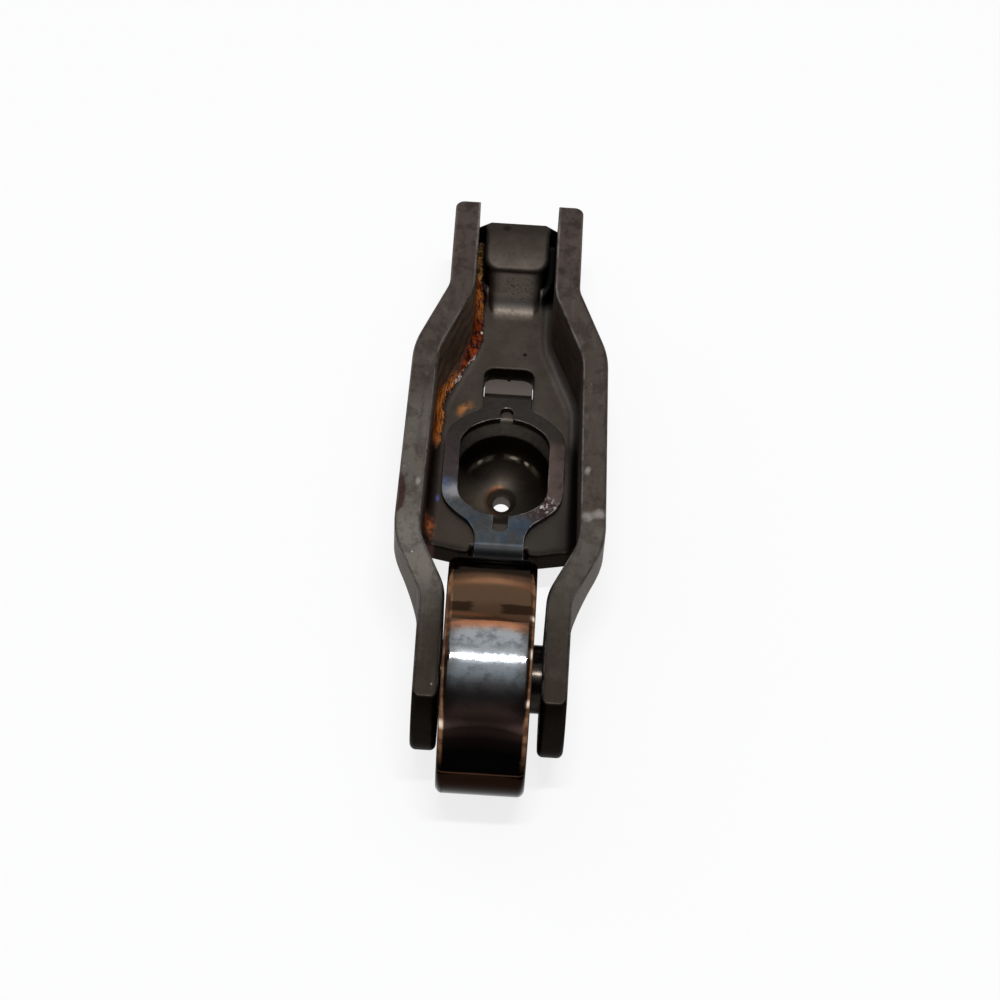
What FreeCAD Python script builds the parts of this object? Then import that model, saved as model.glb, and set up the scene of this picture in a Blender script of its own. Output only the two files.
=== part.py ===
import FreeCAD, Part
import math
import os

# Rocker arm with a roller at one end, a ball socket in the middle and a valve pad at the other.
# Origin: centre of the ball socket. +Z out of the socket, on the open side of the channel.
# +Y towards the valve pad, so the roller is at -Y. The part is symmetrical about X = 0.
# All lengths are in millimetres and all angles in degrees.

# Formed sheet
sheet = 2.5                   # thickness of the walls and of the web
bend_inner = 1.35             # inside radius between web and wall
web_top = 1.45                # web surface on the open side, above the socket centre
wall_height = 10.4            # from that surface to the top of the walls in the middle
wall_edge = 0.25              # rounding of the long upper edges

# Channel in plan, as half widths of the open gap between the walls
ear_half_gap = 4.85           # beside the roller
belly_half_gap_roller = 7.75  # widest place
belly_half_gap_valve = 7.15   # where the walls start to close towards the valve
valve_half_gap = 4.0          # beside the valve stem
plan_bend = 4.0               # bend radius of the walls, at half thickness
belly_bend = 7.0              # and at both ends of the wide stretch

# Stations along the arm, from the socket centre
belly_roller_y = -13.3        # widest place
ear_start_y = -19.2           # where the ears become parallel
belly_valve_y = 7.7
valve_start_y = 15.1
valve_end_y = 27.2            # end of web and walls at the valve
web_end_y = -9.6              # end of the web at the roller

# Side view of the walls
roller_slope_y = -11.5        # from here the wall tops fall towards the roller
roller_slope = 4.5
valve_slope_y = 17.4          # from here they fall towards the valve
valve_slope = 16.0
top_bend = 14.0               # radius where the wall tops change their slope
wall_corner = 0.9             # outer upright corner at the valve end
ear_radius = 7.1              # round end
ear_forward = 0.2             # its centre lies this far beyond the axle
ear_drop = 0.3                # and this far below it
ear_edge = 0.6                # rounding of the edges of that end
arch_radius = 4.2             # relief in the lower edge between web and ear
arch_top = 6.6

# Axle, needles and roller
axle_y = -25.27
axle_z = 5.47
axle_radius = 3.3
axle_inset = 0.05             # each end lies this far inside the outer face of its ear
stake_radius = 2.35           # ring pressed into each end when the axle was staked
stake_width = 0.5
stake_depth = 0.3
needle_count = 16
needle_radius = 0.79
needle_end_gap = 0.25         # from needle end to roller side
needle_clearance = 0.02       # radial, at the axle and at the roller
needle_chamfer = 0.15
roller_radius = 11.4
roller_left_gap = 0.2         # from left ear to roller
roller_right_gap = 1.0        # from right ear to roller
roller_edge = 0.7             # rounding of the running surface
roller_bore_edge = 0.3

# Ball socket
socket_radius = 4.85
socket_wall = 2.0
socket_lead = 1.2             # chamfer at the mouth
socket_foot = 0.5             # rounding between cup and underside
oil_hole = 1.8                # diameter
oil_sink = 3.0                # diameter of its countersink

# Web end at the roller
lobe_half_width = 3.9         # flat part of the end
lobe_round = 0.9
lobe_inner_round = 0.5
lobe_edge = 0.3               # rounding of the upper edge of the lobes
notch_edge = 0.5              # rounding above and below the recess, inside the clip's bends
end_sweep = 1.2               # the end falls back by this much at the walls
notch_depth = 0.55            # recess between the lobes, for the clip tab
notch_side_gap = 0.3          # from clip tab to the sides of the recess

# Window in the web for the clip
window_half_width = 2.5
window_start_y = 7.9
window_end_y = 12.05
window_corner = 1.0

# Valve pad
pad_half_width = 3.25
pad_start_y = 21.4
pad_top = 6.0
pad_crown = 10.0              # radius of the curved top along the arm
pad_corner = 1.5              # corners beside the neck
pad_end_corner = 0.6
pad_edge = 0.45
seat_length = 5.8             # rising floor beside the pad, from its start to the valve end
seat_flat = 1.4               # its level stretch at the valve end
seat_top = 4.4
neck_half_width = 2.6
neck_edge = 0.7               # rounding of its sides
neck_lean = 1.8               # its front falls back by this much from foot to pad
neck_radius = 2.6
flank_drop = 0.6              # start of the slope beside the pad at the valve end, below its top
flank_length = 1.7
pocket_half_width = 2.4       # hollow pressed into the underside
pocket_start_y = 22.2
pocket_end_y = 25.8
pocket_top = 1.3
pocket_corner = 1.0

# Spring clip
clip_sheet = 0.8
clip_bend = 0.4               # inside radius of its bends
clip_outer_radius = 7.05
clip_side_inset = 1.0         # its straight sides stand this far inside the round ends
clip_end_width = 1.4          # width of the ring at its round ends
clip_arm_width = 1.55         # width of its straight sides
clip_mouth_round = 2.6
clip_tab_half_width = 2.45
clip_side_round = 3.0         # where its straight sides meet the round ends
clip_top_root = 1.0           # rounding where the upper tab leaves the ring
clip_bottom_root = 3.0
top_notch_half_width = 0.65
top_notch_depth = 1.25        # from the mouth outwards
bottom_notch_half_width = 0.75
bottom_notch_depth = 1.65
tongue_half_width = 2.42
tongue_bend_y = 8.3
tongue_slope = 38.0
tongue_length = 4.3
tongue_corner = 1.3
tongue_nick = 0.5
tab_gap = 0.12                # from clip tab to the web end, and from its lip to the underside
tab_lip = 1.3                 # length of the lip that grips the underside

# Derived places
half_sheet = sheet / 2
web_bottom = web_top - sheet
wall_top = web_top + wall_height
bend_outer = bend_inner + sheet
far = 4 * ear_radius
ear_half_width = ear_half_gap + sheet
belly_half_width = belly_half_gap_roller + sheet
roller_left = roller_left_gap - ear_half_gap
roller_right = ear_half_gap - roller_right_gap
ear_y = axle_y - ear_forward
ear_z = axle_z - ear_drop
raceway_radius = axle_radius + 2 * (needle_radius + needle_clearance)
needle_orbit = axle_radius + needle_radius + needle_clearance
arch_z = arch_top - arch_radius
arch_reach = ear_radius + arch_radius
arch_y = ear_y + math.sqrt(arch_reach ** 2 - (ear_z - arch_z) ** 2)
arch_end_y = arch_y + arch_radius
clip_half_width = clip_outer_radius - clip_side_inset
clip_mouth_radius = clip_outer_radius - clip_end_width
clip_mouth_half_width = clip_half_width - clip_arm_width
top_notch_y = clip_mouth_radius + top_notch_depth
bottom_notch_y = -(clip_mouth_radius + bottom_notch_depth)
notch_y = web_end_y + notch_depth
notch_half_width = clip_tab_half_width + notch_side_gap
seat_start_y = valve_end_y - seat_length
seat_rise_y = valve_end_y - seat_flat
tiny = 0.0001                 # two places closer than this are the same
origin = FreeCAD.Vector(0, 0, 0)
up = FreeCAD.Vector(0, 0, 1)
across = FreeCAD.Vector(1, 0, 0)


def in_plan(z):
    """Places plan coordinates (x, y) at height z."""
    return lambda u, v: FreeCAD.Vector(u, v, z)


def in_side(x):
    """Places side view coordinates (y, z) at x."""
    return lambda u, v: FreeCAD.Vector(x, u, v)


def rounded_face(corners, place):
    """Face inside a closed polygon of (u, v, radius) corners, rounded by tangent arcs."""
    points = [FreeCAD.Vector(u, v, 0) for u, v, radius in corners]
    marks = []
    for index, (u, v, radius) in enumerate(corners):
        here = points[index]
        back = (points[index - 1] - here).normalize()
        ahead = (points[(index + 1) % len(points)] - here).normalize()
        if radius == 0:
            marks.append((here, here, here))
            continue
        half = back.getAngle(ahead) / 2
        reach = radius / math.tan(half)
        depth = radius / math.sin(half) - radius
        middle = here + (back + ahead).normalize() * depth
        marks.append((here + back * reach, middle, here + ahead * reach))
    edges = []
    for index, (start, middle, end) in enumerate(marks):
        following = marks[(index + 1) % len(marks)][0]
        if corners[index][2] > 0:
            spots = [place(spot.x, spot.y) for spot in (start, middle, end)]
            edges.append(Part.Arc(*spots).toShape())
        if end.distanceToPoint(following) > tiny:
            spots = [place(spot.x, spot.y) for spot in (end, following)]
            edges.append(Part.LineSegment(*spots).toShape())
    return Part.Face(Part.Wire(edges))


def parallel(nodes, shift):
    """Path of (u, v, radius) nodes moved sideways, left positive, its bends kept concentric."""
    lines = []
    for (u0, v0, r0), (u1, v1, r1) in zip(nodes, nodes[1:]):
        length = math.hypot(u1 - u0, v1 - v0)
        du = (u1 - u0) / length
        dv = (v1 - v0) / length
        lines.append((u0 - dv * shift, v0 + du * shift, du, dv, length))
    moved = [(lines[0][0], lines[0][1], 0)]
    for index in range(1, len(lines)):
        ua, va, dua, dva, _ = lines[index - 1]
        ub, vb, dub, dvb, _ = lines[index]
        turn = dua * dvb - dva * dub
        along = ((ub - ua) * dvb - (vb - va) * dub) / turn
        radius = nodes[index][2] - math.copysign(1, turn) * shift
        moved.append((ua + dua * along, va + dva * along, radius))
    ul, vl, dul, dvl, length = lines[-1]
    moved.append((ul + dul * length, vl + dvl * length, 0))
    return moved


def prism(corners, low, high):
    """Upright prism over a rounded plan outline."""
    return rounded_face(corners, in_plan(low)).extrude(up * (high - low))


def slab(corners, half_width):
    """Prism over a rounded side view outline, centred on the arm."""
    return rounded_face(corners, in_side(-half_width)).extrude(across * (2 * half_width))


def box_corners(half_width, start, end, radius):
    """Plan rectangle centred on the arm, with rounded corners."""
    return [(-half_width, start, radius), (half_width, start, radius),
            (half_width, end, radius), (-half_width, end, radius)]


def mirrored(side):
    """Closed plan outline from its right side, listed from roller to valve."""
    return side + [(-x, y, radius) for x, y, radius in reversed(side)]


def level_edges(solid, z):
    """Long edges at height z that run along the arm, not across its ends."""
    found = []
    for edge in solid.Edges:
        box = edge.BoundBox
        if abs(box.ZMin - z) < tiny and box.ZLength < tiny and box.YLength > tiny:
            found.append(edge)
    return found


def upright_edges(solid, half_width, y_sign):
    """Upright edges at both sides x = half_width, on the given side of the socket along Y."""
    found = []
    for edge in solid.Edges:
        box = edge.BoundBox
        upright = box.XLength < tiny and box.YLength < tiny
        if upright and abs(abs(box.XMin) - half_width) < tiny and box.YMin * y_sign > 0:
            found.append(edge)
    return found


def inner_corners(solid, half_width, y_sign):
    """Upright edges where a tab of this half width meets the ring."""
    reach = clip_outer_radius + tiny
    return [edge for edge in upright_edges(solid, half_width, y_sign)
            if abs(edge.BoundBox.YMin) < reach]


def wall_path(end_y):
    """Right wall at half thickness in plan, from past the roller to end_y."""
    return [(ear_half_gap + half_sheet, axle_y - far, 0),
            (ear_half_gap + half_sheet, ear_start_y, plan_bend),
            (belly_half_gap_roller + half_sheet, belly_roller_y, belly_bend),
            (belly_half_gap_valve + half_sheet, belly_valve_y, belly_bend),
            (valve_half_gap + half_sheet, valve_start_y, plan_bend),
            (valve_half_gap + half_sheet, end_y, 0)]


def gap_outline():
    """Plan of the open gap between the walls, running out past both ends."""
    return mirrored(parallel(wall_path(valve_end_y + far), half_sheet))


def half_space(y0, y1):
    """Large block between two stations along the arm."""
    return Part.makeBox(2 * far, y1 - y0, 2 * far, FreeCAD.Vector(-far, y0, -far))


def channel():
    """Bent channel: two walls and the web, open at both ends."""
    outside = mirrored(parallel(wall_path(valve_end_y), -half_sheet))
    block = prism(outside, web_bottom, wall_top)
    block = block.makeFillet(bend_outer, level_edges(block, web_bottom))
    hollow = prism(gap_outline(), web_top, wall_top + sheet)
    hollow = hollow.makeFillet(bend_inner, level_edges(hollow, web_top))
    formed = block.cut(hollow).common(half_space(arch_y, valve_end_y))
    plates = prism(outside, axle_z - far, wall_top)
    plates = plates.cut(prism(gap_outline(), axle_z - far - sheet, wall_top + sheet))
    return formed.fuse(plates.common(half_space(axle_y - far, arch_y)))


def side_view():
    """What the walls keep in side view: sloping tops, round ear, relief arch."""
    reach = belly_half_width + sheet
    fall = math.tan(math.radians(roller_slope))
    ear_top = wall_top - (roller_slope_y - axle_y + far) * fall
    valve_top = wall_top - (valve_end_y - valve_slope_y) * math.tan(math.radians(valve_slope))
    below = slab([(axle_y - far, axle_z - far, 0), (valve_end_y, axle_z - far, 0),
                  (valve_end_y, valve_top, 0), (valve_slope_y, wall_top, top_bend),
                  (roller_slope_y, wall_top, top_bend), (axle_y - far, ear_top, 0)], reach)
    main = slab([(arch_y, arch_z, 0), (arch_end_y, arch_z, 0), (arch_end_y, web_bottom, 0),
                 (valve_end_y, web_bottom, 0), (valve_end_y, wall_top, 0),
                 (ear_y, wall_top, 0), (ear_y, ear_z, 0)], reach)
    ear = Part.makeCylinder(ear_radius, 2 * reach, FreeCAD.Vector(-reach, ear_y, ear_z), across)
    arch = Part.makeCylinder(arch_radius, 2 * reach, FreeCAD.Vector(-reach, arch_y, arch_z), across)
    return main.fuse(ear).cut(arch).common(below)


def end_gap():
    """Everything between the ears beyond the web: two lobes and a recess for the clip tab."""
    wide = belly_half_width
    end = [(lobe_half_width, web_end_y, lobe_round), (notch_half_width, web_end_y, lobe_inner_round),
           (notch_half_width, notch_y, 0), (-notch_half_width, notch_y, 0),
           (-notch_half_width, web_end_y, lobe_inner_round), (-lobe_half_width, web_end_y, lobe_round)]
    corners = [(-wide, axle_y - far, 0), (wide, axle_y - far, 0), (wide, web_end_y + end_sweep, 0)]
    corners += end + [(-wide, web_end_y + end_sweep, 0)]
    low = axle_z - far
    return prism(corners, low, wall_top).common(prism(gap_outline(), low, wall_top))


def cup():
    """Drawn outside of the ball socket, with its foot rounding."""
    middle = web_top - half_sheet
    outer = socket_radius + socket_wall
    drop = web_bottom - socket_foot
    foot = math.sqrt((outer + socket_foot) ** 2 - drop ** 2)
    share = outer / (outer + socket_foot)
    tangent = FreeCAD.Vector(foot * share, 0, drop * share)
    centre = FreeCAD.Vector(foot, 0, drop)
    bow = centre + ((tangent - centre).normalize() + up).normalize() * socket_foot
    half = (math.atan2(tangent.z, tangent.x) - math.pi / 2) / 2
    belly = FreeCAD.Vector(outer * math.cos(half), 0, outer * math.sin(half))
    bottom = FreeCAD.Vector(0, 0, -outer)
    rim = FreeCAD.Vector(foot, 0, web_bottom)
    edges = [Part.LineSegment(FreeCAD.Vector(0, 0, middle), FreeCAD.Vector(foot, 0, middle)).toShape(),
             Part.LineSegment(FreeCAD.Vector(foot, 0, middle), rim).toShape(),
             Part.Arc(rim, bow, tangent).toShape(),
             Part.Arc(tangent, belly, bottom).toShape(),
             Part.LineSegment(bottom, FreeCAD.Vector(0, 0, middle)).toShape()]
    return Part.Face(Part.Wire(edges)).revolve(origin, up)


def socket():
    """Space inside the socket: ball seat, chamfered mouth, oil hole and its countersink."""
    lead = min(socket_lead, web_top * 0.95)
    side = FreeCAD.Vector(socket_radius, 0, 0)
    neck = FreeCAD.Vector(socket_radius, 0, web_top - lead)
    mouth = FreeCAD.Vector(socket_radius + lead, 0, web_top)
    bottom = FreeCAD.Vector(0, 0, -socket_radius)
    halfway = FreeCAD.Vector(socket_radius * math.sqrt(0.5), 0, -socket_radius * math.sqrt(0.5))
    lid = web_top + sheet
    edges = [Part.Arc(bottom, halfway, side).toShape(),
             Part.LineSegment(side, neck).toShape(),
             Part.LineSegment(neck, mouth).toShape(),
             Part.LineSegment(mouth, FreeCAD.Vector(mouth.x, 0, lid)).toShape(),
             Part.LineSegment(FreeCAD.Vector(mouth.x, 0, lid), FreeCAD.Vector(0, 0, lid)).toShape(),
             Part.LineSegment(FreeCAD.Vector(0, 0, lid), bottom).toShape()]
    seat = Part.Face(Part.Wire(edges)).revolve(origin, up)
    outer = socket_radius + socket_wall
    hole = Part.makeCylinder(oil_hole / 2, outer, FreeCAD.Vector(0, 0, -outer - socket_wall))
    rim = -math.sqrt(socket_radius ** 2 - (oil_sink / 2) ** 2)
    depth = (oil_sink - oil_hole) / 2
    sink = Part.makeCone(oil_hole / 2, oil_sink / 2, depth, FreeCAD.Vector(0, 0, rim - depth))
    return seat.fuse([hole, sink])


def valve_seat():
    """Rising floor, neck and crowned pad at the valve end."""
    middle = web_top - half_sheet
    run = neck_radius + sheet
    floor = slab([(seat_start_y - run, middle, 0), (valve_end_y, middle, 0),
                  (valve_end_y, seat_top, 0), (seat_rise_y, seat_top, neck_radius),
                  (seat_start_y, web_top, neck_radius), (seat_start_y - run, web_top, 0)],
                 valve_half_gap + half_sheet)
    corners = [(-pad_half_width, pad_start_y, pad_corner), (pad_half_width, pad_start_y, pad_corner),
               (pad_half_width, valve_end_y, pad_end_corner), (-pad_half_width, valve_end_y, pad_end_corner)]
    crown_y = (pad_start_y + valve_end_y) / 2
    crown = Part.makeCylinder(pad_crown, 2 * pad_half_width,
                              FreeCAD.Vector(-pad_half_width, crown_y, pad_top - pad_crown), across)
    pad = prism(corners, middle, pad_top + sheet).common(crown)
    rims = [edge for edge in pad.Edges if edge.BoundBox.ZMin > seat_top]
    pad = pad.makeFillet(pad_edge, rims)
    shoulder = pad_top - 2 * pad_edge
    neck = slab([(pad_start_y - run, middle, 0), (pad_start_y + pad_corner, middle, 0),
                 (pad_start_y + pad_corner, shoulder, 0), (pad_start_y, shoulder, 0),
                 (pad_start_y - neck_lean, web_top, neck_radius),
                 (pad_start_y - neck_lean - run, web_top, 0)],
                neck_half_width)
    neck = neck.makeFillet(neck_edge, front_edges(neck))
    crest = pad_top - flank_drop
    slope = [(0, middle), (valve_half_gap + half_sheet, middle),
             (valve_half_gap + half_sheet, seat_top), (valve_half_gap, seat_top),
             (pad_half_width - pad_edge, crest), (0, crest)]
    spots = [FreeCAD.Vector(x, valve_end_y - flank_length, z) for x, z in slope]
    half = Part.Face(Part.makePolygon(spots + spots[:1])).extrude(FreeCAD.Vector(0, flank_length, 0))
    flanks = half.fuse(half.mirror(origin, across)).removeSplitter()
    return floor.fuse([neck, pad, flanks])


def front_edges(neck):
    """Side edges of the neck's front, from the web up to the pad."""
    found = []
    for edge in neck.Edges:
        box = edge.BoundBox
        sloping = box.XLength < tiny and box.ZLength > tiny
        if sloping and box.YMax < pad_start_y + tiny:
            found.append(edge)
    return found


def top_edges(solid):
    """Long upper edges of both walls."""
    found = []
    for edge in solid.Edges:
        box = edge.BoundBox
        if box.ZMin > arch_top and box.YLength > 2 * wall_edge and box.XMin * box.XMax > 0:
            found.append(edge)
    return found


def ear_edges(solid):
    """Edges of the round ear ends, inside and outside."""
    found = []
    for edge in solid.Edges:
        box = edge.BoundBox
        if box.XLength < tiny and box.YMin < ear_y - ear_radius + tiny:
            found.append(edge)
    return found


def notch_edges(solid):
    """Level edges at the bottom of the recess for the clip tab."""
    found = []
    for edge in solid.Edges:
        box = edge.BoundBox
        level = box.ZLength < tiny and box.YLength < tiny
        if level and abs(box.YMin - notch_y) < tiny and abs(edge.Length - 2 * notch_half_width) < tiny:
            found.append(edge)
    return found


def lobe_edges(solid):
    """Upper edges of the web end, from wall to recess on both sides."""
    found = []
    for edge in solid.Edges:
        box = edge.BoundBox
        level = box.ZLength < tiny and abs(box.ZMin - web_top) < tiny
        beside = abs(edge.CenterOfMass.x) > notch_half_width
        if level and beside and box.YMax < web_end_y + end_sweep and box.YMin > web_end_y - tiny:
            found.append(edge)
    return found


def rocker_body():
    """One piece of formed sheet: channel, ears, socket cup and valve pad."""
    body = channel().common(side_view())
    body = body.cut(end_gap()).removeSplitter()
    body = body.makeFillet(wall_corner, upright_edges(body, valve_half_gap + sheet, 1))
    body = body.makeFillet(ear_edge, ear_edges(body))
    body = body.makeFillet(wall_edge, top_edges(body))
    body = body.makeFillet(notch_edge, notch_edges(body))
    body = body.makeFillet(lobe_edge, lobe_edges(body))
    body = body.fuse([cup(), valve_seat()])
    window = prism(box_corners(window_half_width, window_start_y, window_end_y, window_corner),
                   web_bottom - sheet, web_top + sheet)
    pocket = prism(box_corners(pocket_half_width, pocket_start_y, pocket_end_y, pocket_corner),
                   web_bottom - sheet, pocket_top)
    bore = Part.makeCylinder(axle_radius, 2 * far, FreeCAD.Vector(-far, axle_y, axle_z), across)
    return body.cut([socket(), window, pocket, bore]).removeSplitter()


def axle():
    """Plain pin held in both ears, with a ring staked into each end."""
    half = ear_half_width - axle_inset
    centre = FreeCAD.Vector(-half, axle_y, axle_z)
    pin = Part.makeCylinder(axle_radius, 2 * half, centre, across)
    for side in (-1, 1):
        place = FreeCAD.Vector(side * (half - stake_depth), axle_y, axle_z)
        outward = across * side
        ring = Part.makeCylinder(stake_radius + stake_width / 2, sheet, place, outward)
        core = Part.makeCylinder(stake_radius - stake_width / 2, sheet, place, outward)
        pin = pin.cut(ring.cut(core))
    return pin


def needle(index):
    """One roller of the full ring of needles between axle and roller."""
    angle = 2 * math.pi * index / needle_count
    length = roller_right - roller_left - 2 * needle_end_gap
    start = FreeCAD.Vector(roller_left + needle_end_gap, axle_y + needle_orbit * math.cos(angle),
                           axle_z + needle_orbit * math.sin(angle))
    pin = Part.makeCylinder(needle_radius, length, start, across)
    rims = [edge for edge in pin.Edges if edge.BoundBox.XLength < tiny]
    return pin.makeChamfer(needle_chamfer, rims)


def roller():
    """Hardened ring that runs on the cam, bored for the needles."""
    centre = FreeCAD.Vector(roller_left, axle_y, axle_z)
    width = roller_right - roller_left
    ring = Part.makeCylinder(roller_radius, width, centre, across)
    ring = ring.makeFillet(roller_edge, [edge for edge in ring.Edges if edge.BoundBox.XLength < tiny])
    ring = ring.cut(Part.makeCylinder(raceway_radius, width, centre, across))
    rims = []
    for edge in ring.Edges:
        box = edge.BoundBox
        if box.XLength < tiny and box.ZLength < 2 * (raceway_radius + tiny):
            rims.append(edge)
    return ring.makeChamfer(roller_bore_edge, rims)


def retaining_clip():
    """Flat spring steel ring over the socket, hooked round the web end and into the window."""
    half = clip_sheet / 2
    flat_z = web_top + half
    lip_z = web_bottom - tab_gap - half
    tab_y = notch_y - tab_gap - half
    slope = math.radians(tongue_slope)
    bend = clip_bend + half
    path = [(tab_y + tab_lip, lip_z, 0), (tab_y, lip_z, bend), (tab_y, flat_z, bend),
            (tongue_bend_y, flat_z, bend),
            (tongue_bend_y + tongue_length * math.cos(slope),
             flat_z - tongue_length * math.sin(slope), 0)]
    # the path turns to the right at the tab, so its bends keep the same centre on both faces
    section = parallel(path, half) + list(reversed(parallel(path, -half)))
    strip = slab(section, clip_half_width)
    low = web_bottom - 2 * sheet
    tall = wall_top - low
    base = FreeCAD.Vector(0, 0, low)
    ring = Part.makeCylinder(clip_outer_radius, tall, base)
    ring = ring.common(Part.makeBox(2 * clip_half_width, 2 * far, tall,
                                    FreeCAD.Vector(-clip_half_width, -far, low)))
    sides = upright_edges(ring, clip_half_width, 1) + upright_edges(ring, clip_half_width, -1)
    ring = ring.makeFillet(clip_side_round, sides)
    tab = Part.makeBox(2 * clip_tab_half_width, far, tall,
                       FreeCAD.Vector(-clip_tab_half_width, -far, low))
    tip_y = path[-1][0] + half * math.sin(slope)
    tongue = prism([(-tongue_half_width, 0, 0), (tongue_half_width, 0, 0),
                    (tongue_half_width, tip_y, tongue_corner), (-tongue_half_width, tip_y, tongue_corner)],
                   low, low + tall)
    plan = ring.fuse([tab, tongue])
    plan = plan.makeFillet(clip_bottom_root, inner_corners(plan, clip_tab_half_width, -1))
    plan = plan.makeFillet(clip_top_root, inner_corners(plan, tongue_half_width, 1))
    mouth = Part.makeCylinder(clip_mouth_radius, tall, base)
    mouth = mouth.common(Part.makeBox(2 * clip_mouth_half_width, 2 * far, tall,
                                      FreeCAD.Vector(-clip_mouth_half_width, -far, low)))
    sides = upright_edges(mouth, clip_mouth_half_width, 1)
    sides += upright_edges(mouth, clip_mouth_half_width, -1)
    mouth = mouth.makeFillet(clip_mouth_round, sides)
    high = low + tall
    top_notch = prism(box_corners(top_notch_half_width, 0, top_notch_y, top_notch_half_width * 0.9),
                      low, high)
    bottom_notch = prism(box_corners(bottom_notch_half_width, bottom_notch_y, 0,
                                     bottom_notch_half_width * 0.6), low, high)
    nick = prism([(-tongue_nick, tip_y + tongue_nick, 0), (0, tip_y - tongue_nick, 0),
                  (tongue_nick, tip_y + tongue_nick, 0)], low, high)
    return strip.common(plan).cut([mouth, top_notch, bottom_notch, nick]).removeSplitter()


os.makedirs("parts", exist_ok=True)
pieces = {"rocker_body": rocker_body(), "axle": axle(), "roller": roller(),
          "retaining_clip": retaining_clip()}
for index in range(needle_count):
    pieces["needle_%02d" % (index + 1)] = needle(index)
for name, shape in pieces.items():
    solid = shape.Solids[0] if len(shape.Solids) == 1 else shape
    solid.exportStep("parts/" + name + ".step")
    box = solid.BoundBox
    print(name, shape.isValid(), len(shape.Solids), round(shape.Volume, 3),
          [round(value, 2) for value in (box.XMin, box.XMax, box.YMin, box.YMax, box.ZMin, box.ZMax)])
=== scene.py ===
import math

import bpy
from mathutils import Matrix, Vector


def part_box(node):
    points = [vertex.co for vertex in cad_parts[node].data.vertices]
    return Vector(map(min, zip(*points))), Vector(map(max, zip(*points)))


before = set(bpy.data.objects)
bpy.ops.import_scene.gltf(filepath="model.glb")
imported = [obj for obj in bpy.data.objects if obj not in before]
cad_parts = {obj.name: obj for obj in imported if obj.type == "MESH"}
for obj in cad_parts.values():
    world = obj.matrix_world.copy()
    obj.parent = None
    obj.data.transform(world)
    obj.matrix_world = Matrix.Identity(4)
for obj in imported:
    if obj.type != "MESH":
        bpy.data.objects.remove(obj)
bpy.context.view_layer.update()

# Sizes are in millimetres unless a name says otherwise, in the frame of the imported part:
# origin at the centre of the ball socket, +Z out of the open side, +Y towards the valve pad.
MM = 0.001

# Places read from the part
body_low, body_high = (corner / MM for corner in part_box("rocker_body"))
_, clip_high = (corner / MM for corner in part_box("retaining_clip"))
roller_low, roller_high = (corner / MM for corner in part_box("roller"))
roller_centre = (roller_low + roller_high) / 2
WEB_TOP = 1.45
CLIP_TOP = clip_high.z
WALL_TOP = body_high.z
BELLY_HALF_GAP = 7.15
BELLY_GROWTH = 0.0286           # the gap widens by this much per millimetre towards the roller
BELLY_END_Y = 7.7
CLOSING = 0.4257                # from there it closes by this much per millimetre
VALVE_HALF_GAP = 4.0
SOCKET_RADIUS = 4.85
PAD_START_Y = 21.4

# Camera
CAMERA_PLACE = (-0.165, -191.9, 328.0)
CAMERA_ELEVATION = 60.0         # degrees above the horizon
CAMERA_ROLL = 3.6               # degrees; the arm leans clockwise in the picture
CAMERA_LENS = 136.1             # mm on a 36 mm sensor
CAMERA_RANGE = (0.01, 20.0)     # metres

# Light
LAMP_PLACE = (20.0, -165.0, 900.0)
LAMP_SIZE = (260.0, 14.0)
LAMP_POWER = 4.9                # watts

# Floor
FLOOR_DROP = 0.02               # it lies this far below the lowest point
FLOOR_SIZE = 4.0                # metres
FLOOR_COLOUR = 0.9
FLOOR_GLOW = 0.8                # share of it that shows as plain white to the eye and in reflections

# Room, as red, green, blue and alpha; 1 is white
ROOM_FRONT = (0.08, 0.08, 0.082, 1)
ROOM_BACK = (0.26, 0.245, 0.235, 1)
CEILING_PATCH = (1.14, 1.20, 1.24, 1)
FILL_LIGHT = (0.75, 0.78, 0.82, 1)
FILL_DIRECTION = (-0.62, 0.50, 0.60)
ROOM_WHITE = (1, 1, 1, 1)

DEGREES = 180 / math.pi         # in one radian
DIAGONAL = math.sqrt(0.5)
EDGE_ON = (0.5, 0.5, 0.5, 1.0)  # keeps oily steel from going white where it is seen edge on


def tone(red, green, blue):
    """Linear colour from display values of 0 to 255."""
    linear = []
    for value in (red, green, blue):
        share = value / 255
        linear.append(share / 12.92 if share <= 0.04045 else ((share + 0.055) / 1.055) ** 2.4)
    return (*linear, 1.0)


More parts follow.
